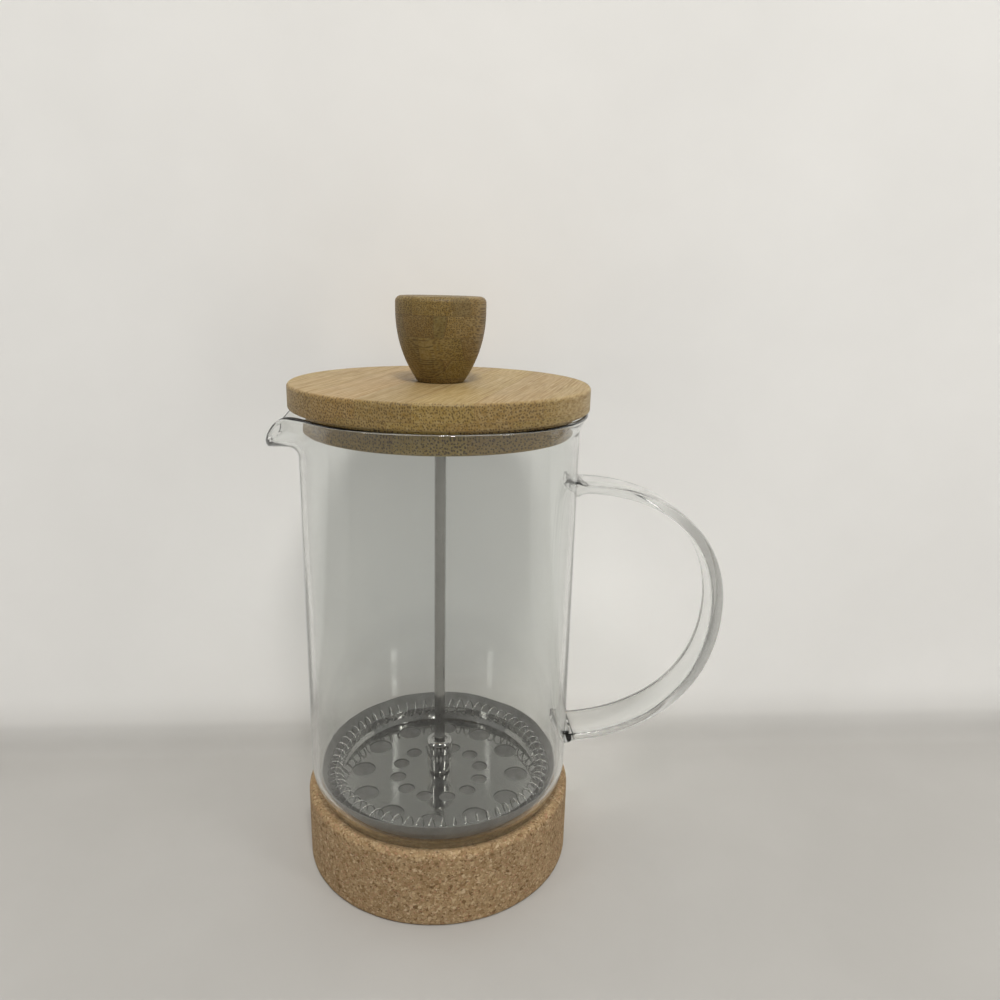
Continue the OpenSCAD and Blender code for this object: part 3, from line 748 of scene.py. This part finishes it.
# ---------------------------------------------------------------- plunger
def make_plunger():
    rod = turned("plunger_rod_steel", [(0, 35.0), (1.7, 35.0), (2.0, 35.3)] + [(2.0, z) for z in range(42, 182, 10)]
                 + [(2.0, 183.1), (1.9, 183.35), (1.6, 183.6), (0, 183.6)], 72)
    dress(rod, "rod", "plunger", "steel", "plunger_rod")
    zb, ztop, r = 28.5, 41.7, 4.95
    hub = turned("coupling_sleeve", [(2.05, zb), (r - 1.6, zb), (r - 1.25, zb + 0.15), (r - 0.9, zb + 0.55), (r - 0.62, zb + 1.4), (r - 0.38, zb + 2.5),
                 (r - 0.24, zb + 3.5), (r - 0.14, zb + 4.6), (r - 0.06, zb + 6.2), (r, zb + 8.0), (r, ztop - 1.5), (r - 0.06, ztop - 1.15),
                 (r - 0.22, ztop - 0.7), (r - 0.5, ztop - 0.3), (r - 0.9, ztop - 0.02), (3.2, ztop), (3.05, ztop - 0.12), (3.05, ztop - 1.1),
                 (2.9, ztop - 1.2), (2.03, ztop - 1.2), (2.03, 34.4), (2.05, 34.2)], 120, 50.0)
    dress(hub, "hub", "plunger", "steel", "hub")

    # plate
    dome_r, dome_h, pz, pt = 11.0, 1.1, 26.8, 0.6
    sr = (dome_r ** 2 + dome_h ** 2) / (2 * dome_h)
    zt = pz + pt
    da = math.degrees(math.asin(dome_r / sr))
    bell = [2.9, 3.2] + [3.4 + 7.6 * i / 22 for i in range(23)]
    under = [(q, pz + dome_h * 0.97 * (1.0 if q < 3.4 else 0.5 + 0.5 * math.cos(math.pi * (q - 3.4) / 7.6)) + (0.0 if q > 3.4 else 0.0)) for q in bell]
    over = [(x, z + pt) for x, z in reversed(under)]
    cr_, co = 37.3, 39.3
    outer = [(cr_ + 0.2, pz), (co - 0.1, pz + 1.62), (co + 0.14, pz + 1.88), (co + 0.25, pz + 2.25), (co + 0.25, 31.6), (co + 0.1, 31.8), (co - 0.1, 31.8), (co - 0.25, 31.6),
             (co - 0.25, zt + 2.15), (co - 0.36, zt + 1.8), (cr_ + 0.14, zt + 0.2), (cr_ + 0.02, zt + 0.03), (cr_ - 0.25, zt)]

    def dish(x, y, z):
        # pressed sheet is never quite flat
        rr = math.hypot(x, y)
        if rr > 37.0:
            return x, y, z
        b = math.sin(math.pi * max(0.0, rr - 11) / 26.0) if rr > 11 else 0.0
        g = 0.035 * b * mnoise.noise(Vector((x * 0.05 + 3, y * 0.05, 0.3)))
        return x, y, z + g

    mids = [11.5 + 25.3 * i / 12 for i in range(1, 12)]
    plate = turned("spring_plate_steel", under + [(q, pz) for q in mids] + outer + [(q, zt) for q in reversed(mids)] + over, 252, 40.0, dish)
    bm = bmesh.new()

    def cutter(r, h, mat, seg):
        bmesh.ops.create_cone(bm, cap_ends=True, cap_tris=False, segments=seg, radius1=r * MM, radius2=r * MM, depth=h * MM, matrix=mat)

    for k in range(12):
        for ang, pr, rr, seg in ((25 + 30 * k, 29.5, 4.5, 56), (10 + 30 * k, 15.9, 3.0, 44)):
            a = math.radians(ang)
            cutter(rr, 4.0, Matrix.Translation((pr * math.cos(a) * MM, pr * math.sin(a) * MM, (pz + 0.3) * MM)), seg)
    for k in range(63):
        a = 2 * math.pi * k / 63
        m = Matrix.Rotation(a, 4, "Z") @ Matrix.Translation((39.3 * MM, 0, 29.5 * MM)) @ Matrix.Rotation(math.radians(90), 4, "Y")
        cutter(0.62, 1.6, m, 16)
    cm = bpy.data.meshes.new("holes")
    bm.to_mesh(cm)
    bm.free()
    holes = link("holes", cm)
    boolean(plate, holes, "DIFFERENCE")
    soften(plate.data, 40.0)
    edged(plate, 0.09, 2, 55.0)
    dress(plate, "plate", "plunger", "steel", "spring_plate")

    # spring: one wire in 63 coils, laced through the plate's edge
    coils, seg, side, wr, ca, cz = 63, 28, 10, 0.25, 2.85, 32.3
    n = coils * seg
    pts = []
    for i in range(n):
        th = 2 * math.pi * i / n
        a = math.radians(-90 + 360 * i / seg)
        # loops lean a little, each by its own amount, but for the lacing point
        loop = i / seg
        k0 = int(loop) % coils
        wgt = 0.5 - 0.5 * math.cos(2 * math.pi * (loop - int(loop)))
        lean = wgt * (0.010 * mnoise.noise(Vector((k0 * 1.7, 0.5, 2.0))))
        rr = ca + wgt * 0.04 * mnoise.noise(Vector((k0 * 2.3, 4.5, 1.0)))
        r = co + rr * math.cos(a)
        pts.append(Vector((r * math.cos(th + lean), r * math.sin(th + lean), cz + rr * math.sin(a))))
    verts = []
    ref = None
    for i in range(n):
        t = (pts[(i + 1) % n] - pts[i - 1]).normalized()
        th = 2 * math.pi * i / n
        a = math.radians(-90 + 360 * i / seg)
        out = Vector((math.cos(a) * math.cos(th), math.cos(a) * math.sin(th), math.sin(a)))
        out = (out - out.dot(t) * t).normalized()
        b = t.cross(out)
        for j in range(side):
            q = 2 * math.pi * j / side
            v = pts[i] + wr * (math.cos(q) * out + math.sin(q) * b)
            verts.append(tuple(v * MM))
    faces = [(i * side + j, i * side + (j + 1) % side, ((i + 1) % n) * side + (j + 1) % side, ((i + 1) % n) * side + j)
             for i in range(n) for j in range(side)]
    me = bpy.data.meshes.new("coil")
    me.from_pydata(verts, [], faces)
    me.update()
    soften(me, 80.0)
    coil = link("edge_spring_wire", me)
    dress(coil, "coil", "plunger", "spring_steel", "edge_spring")


# ---------------------------------------------------------------- screen and clamp
def make_screen():
    R, t, cx, cz, z0, rim = 15.35, 0.35, 29.5, 38.95, 26.35, 36.2
    ri = R - t
    ao = math.degrees(math.asin((cz - z0) / R))
    bo = math.degrees(math.asin((cz - rim) / R))
    ai = math.degrees(math.asin((cz - z0 - t) / ri))
    bi = math.degrees(math.asin((cz - rim) / ri))
    outer = arc(cx, cz, R, -ao, -bo, 26)
    inner = arc(cx, cz, ri, -bi, -ai, 26)
    # the cut edge of the skirt is rolled to a soft hem
    ox, oz = outer[-1]
    ix, iz = inner[0]
    hem = arc((ox + ix) / 2, (oz + iz) / 2, (ox - ix) / 2, -10, 190, 8)[1:-1]
    hem = [(x, min(z, rim)) for x, z in hem]
    flat = [4.1, 8.0, 14.0, 20.0, 26.0, 32.0, 36.0]
    prof = [(q, z0) for q in flat] + outer + hem + inner + [(q, z0 + t) for q in reversed(flat)]

    def wavy(x, y, z):
        r = math.hypot(x, y)
        if z < 27.2:
            return x, y, z
        th = math.atan2(y, x)
        k = ease((z - 27.2) / 9.0)
        w = 0.12 * math.sin(5 * th + 0.6) + 0.10 * math.sin(9 * th + 2.0) + 0.06 * math.sin(17 * th)
        g = min(0.0, w - 0.14) * k
        dz = k * min(0.0, 0.22 * math.sin(4 * th + 1.1) + 0.12 * math.sin(11 * th) - 0.2)
        return x * (r + g) / r, y * (r + g) / r, z + dz

    o = turned("screen_woven", prof, 256, 60.0, wavy)
    # UVs in mm: distance from the centre measured along the cloth, so the weave drapes over the corner
    me = o.data
    uvl = me.uv_layers.new(name="UVMap")
    for lp in me.loops:
        v = me.vertices[lp.vertex_index].co
        x, y, z = v.x * 1000, v.y * 1000, v.z * 1000
        r = math.hypot(x, y)
        if r > cx and z > 26.5:
            ang = math.atan2(r - cx, cz - z)
            s = cx + R * ang
        else:
            s = r
        uvl.data[lp.index].uv = (x / r * s, y / r * s)
    dress(o, "mesh", "screen", "woven_steel", "mesh_filter")
    ey = turned("screen_eyelet", [(2.35, 26.44), (2.45, 26.34), (3.95, 26.34), (4.05, 26.44), (4.05, 26.63), (3.95, 26.73), (2.45, 26.73), (2.35, 26.63)], 72)
    dress(ey, "stamped", "screen", "steel", "mesh_eyelet")

    zc, tc = 25.49, 0.8
    disc = turned("cross_plate_steel", [(2.02, zc), (12.0, zc), (24.0, zc), (34.0, zc), (34.0, zc + tc), (24.0, zc + tc), (12.0, zc + tc), (2.02, zc + tc)], 192)
    bm = bmesh.new()
    for k in range(4):
        base = 90 * k
        i0 = math.degrees(math.asin(4.5 / 10.0))
        o0 = math.degrees(math.asin(4.5 / 29.5))
        ring = []
        for i in range(25):
            a = math.radians(base + o0 + (90 - 2 * o0) * i / 24)
            ring.append((29.5 * math.cos(a), 29.5 * math.sin(a)))
        for i in range(13):
            a = math.radians(base + 90 - i0 - (90 - 2 * i0) * i / 12)
            ring.append((10.0 * math.cos(a), 10.0 * math.sin(a)))
        lo_ = [bm.verts.new((x * MM, y * MM, (zc - 1) * MM)) for x, y in ring]
        hi_ = [bm.verts.new((x * MM, y * MM, (zc + tc + 1) * MM)) for x, y in ring]
        bm.faces.new(list(reversed(lo_)))
        bm.faces.new(hi_)
        for i in range(len(ring)):
            j = (i + 1) % len(ring)
            bm.faces.new((lo_[i], lo_[j], hi_[j], hi_[i]))
    cm = bpy.data.meshes.new("windows")
    bmesh.ops.recalc_face_normals(bm, faces=bm.faces)
    bm.to_mesh(cm)
    bm.free()
    boolean(disc, link("windows", cm), "DIFFERENCE")
    soften(disc.data, 40.0)
    edged(disc, 0.12, 2, 55.0)
    dress(disc, "stamped", "clamp", "steel", "cross_plate")
    stud = turned("cross_stud_steel", [(0, 24.49), (3.0, 24.49), (3.45, 24.62), (3.8, 24.99), (3.8, 25.49), (2.0, 25.49)]
                  + [(2.0 - (0.16 if i % 2 else 0.0), 29.2 + i * 0.25) for i in range(16)] + [(2.0, 33.3), (1.6, 33.8), (0, 33.8)], 64)
    dress(stud, "stamped", "clamp", "steel", "cross_stud")


# ---------------------------------------------------------------- stage and light
def make_stage():
    wy, cove = 0.0625, 0.011
    half, tall, deep = 2.2, 1.6, -2.0
    prof = [(deep, 0.0), (-0.4, 0.0), (0.0, 0.0)] + [(wy - cove + cove * math.sin(math.radians(a)), cove - cove * math.cos(math.radians(a))) for a in range(0, 91, 6)]
    prof += [(wy, 0.02), (wy, 0.05), (wy, 0.1), (wy, tall)]
    vs = [(s * half, y, z) for y, z in prof for s in (-1, 1)]
    fs = [(2 * i, 2 * i + 2, 2 * i + 3, 2 * i + 1) for i in range(len(prof) - 1)]
    me = bpy.data.meshes.new("paper_sweep")
    me.from_pydata(vs, [], fs)
    me.update()
    if me.polygons[0].normal.z < 0:
        me.flip_normals()
    for p in me.polygons:
        p.use_smooth = True
    o = link("paper_sweep", me)
    M = Mat("paper_sweep")
    P = M.mm()
    _, _, z = M.sep(P)
    soft = M.noise(P, 0.009, 4.0, 0.55)
    fold = M.noise(P, 0.02, 2.0, 0.5, 0.6)
    up_wall = M.rng(z, 2.0, 15.0, smooth=True)
    # Painted shade: the floor part of the paper gets a much darker colour than the wall part, though both are the same
    # white paper.
    floor_painted_shade = M.mix(M.rng(soft, 0.35, 0.65), (0.545, 0.532, 0.510), (0.510, 0.497, 0.475))
    wall_c = M.mix(M.rng(soft, 0.35, 0.65), (0.83, 0.82, 0.80), (0.79, 0.78, 0.76))
    col = M.mix(up_wall, floor_painted_shade, wall_c)
    # Painted light: the wall part of the paper glows faintly on its own, more strongly higher up, though it is no lamp.
    wall_painted_glow = M.math("MULTIPLY", M.rng(z, 5.0, 28.0, smooth=True), 0.125)
    M.set(Base_Color=col, Roughness=0.85, Specular_IOR_Level=0.2, Normal=M.bump(fold, 1.6, 0.5), Emission_Strength=wall_painted_glow)
    M.bsdf.inputs["Emission Color"].default_value = (1.0, 0.99, 0.965, 1.0)
    # seen from behind the sweep is clear, so that it never hides the object
    geo = M.t.nodes.new("ShaderNodeNewGeometry")
    tr = M.t.nodes.new("ShaderNodeBsdfTransparent")
    mx = M.t.nodes.new("ShaderNodeMixShader")
    M.t.links.new(geo.outputs["Backfacing"], mx.inputs[0])
    M.t.links.new(M.bsdf.outputs[0], mx.inputs[1])
    M.t.links.new(tr.outputs[0], mx.inputs[2])
    M.t.links.new(mx.outputs[0], M.out.inputs[0])
    o.data.materials.append(M.m)


def area(name, loc, target, size, watts, col=(1.0, 0.985, 0.95), spread=180.0, shape="DISK"):
    d = bpy.data.lights.new(name, "AREA")
    d.shape, d.size, d.energy, d.color = shape, size, watts, col
    d.spread = math.radians(spread)
    o = bpy.data.objects.new(name, d)
    scene.collection.objects.link(o)
    o.location = loc
    o.rotation_mode = "QUATERNION"
    o.rotation_quaternion = (Vector(target) - Vector(loc)).to_track_quat("-Z", "Y")
    return o


def make_light():
    world = bpy.data.worlds.new("studio")
    scene.world = world
    world.use_nodes = True
    t = world.node_tree
    t.nodes.clear()
    out = t.nodes.new("ShaderNodeOutputWorld")
    bg = t.nodes.new("ShaderNodeBackground")
    tc = t.nodes.new("ShaderNodeTexCoord")
    sp = t.nodes.new("ShaderNodeSeparateXYZ")
    rp = t.nodes.new("ShaderNodeValToRGB")
    mr = t.nodes.new("ShaderNodeMapRange")
    mr.inputs[1].default_value, mr.inputs[2].default_value = -1.0, 1.0
    t.links.new(tc.outputs["Generated"], sp.inputs[0])
    t.links.new(sp.outputs[2], mr.inputs[0])
    t.links.new(mr.outputs[0], rp.inputs[0])
    e = rp.color_ramp.elements
    e[0].position, e[0].color = 0.42, (0.050, 0.049, 0.046, 1)
    e[1].position, e[1].color = 1.0, (0.34, 0.337, 0.33, 1)
    m = e.new(0.60)
    m.color = (0.070, 0.069, 0.065, 1)
    m2 = e.new(0.78)
    m2.color = (0.19, 0.188, 0.183, 1)
    ab = t.nodes.new("ShaderNodeMath")
    ab.operation = "ABSOLUTE"
    side = t.nodes.new("ShaderNodeMapRange")
    side.interpolation_type = "SMOOTHSTEP"
    for i, v in ((1, 0.12), (2, 0.75), (3, 0.50), (4, 1.55)):
        side.inputs[i].default_value = v
    t.links.new(sp.outputs[0], ab.inputs[0])
    t.links.new(ab.outputs[0], side.inputs[0])
    t.links.new(rp.outputs[0], bg.inputs[0])
    t.links.new(side.outputs[0], bg.inputs[1])
    t.links.new(bg.outputs[0], out.inputs[0])
    area("key", (0.07, -0.66, 1.15), (0.0, 0.0, 0.06), 0.26, 7.6)
    area("top", (0.10, -0.25, 1.25), (0.0, 0.0, 0.1), 0.8, 1.0)
    for nm, loc, tall, wide, watts in (("strip_right", (0.46, -0.40, 0.30), 0.42, 0.07, 0.55), ("strip_left", (-0.50, -0.36, 0.28), 0.42, 0.06, 0.34)):
        o = area(nm, loc, (0.0, 0.0, 0.1), wide, watts, shape="RECTANGLE")
        o.data.size_y = tall


make_cork()
make_glass()
make_lid()
make_plunger()
make_screen()
make_stage()
make_light()
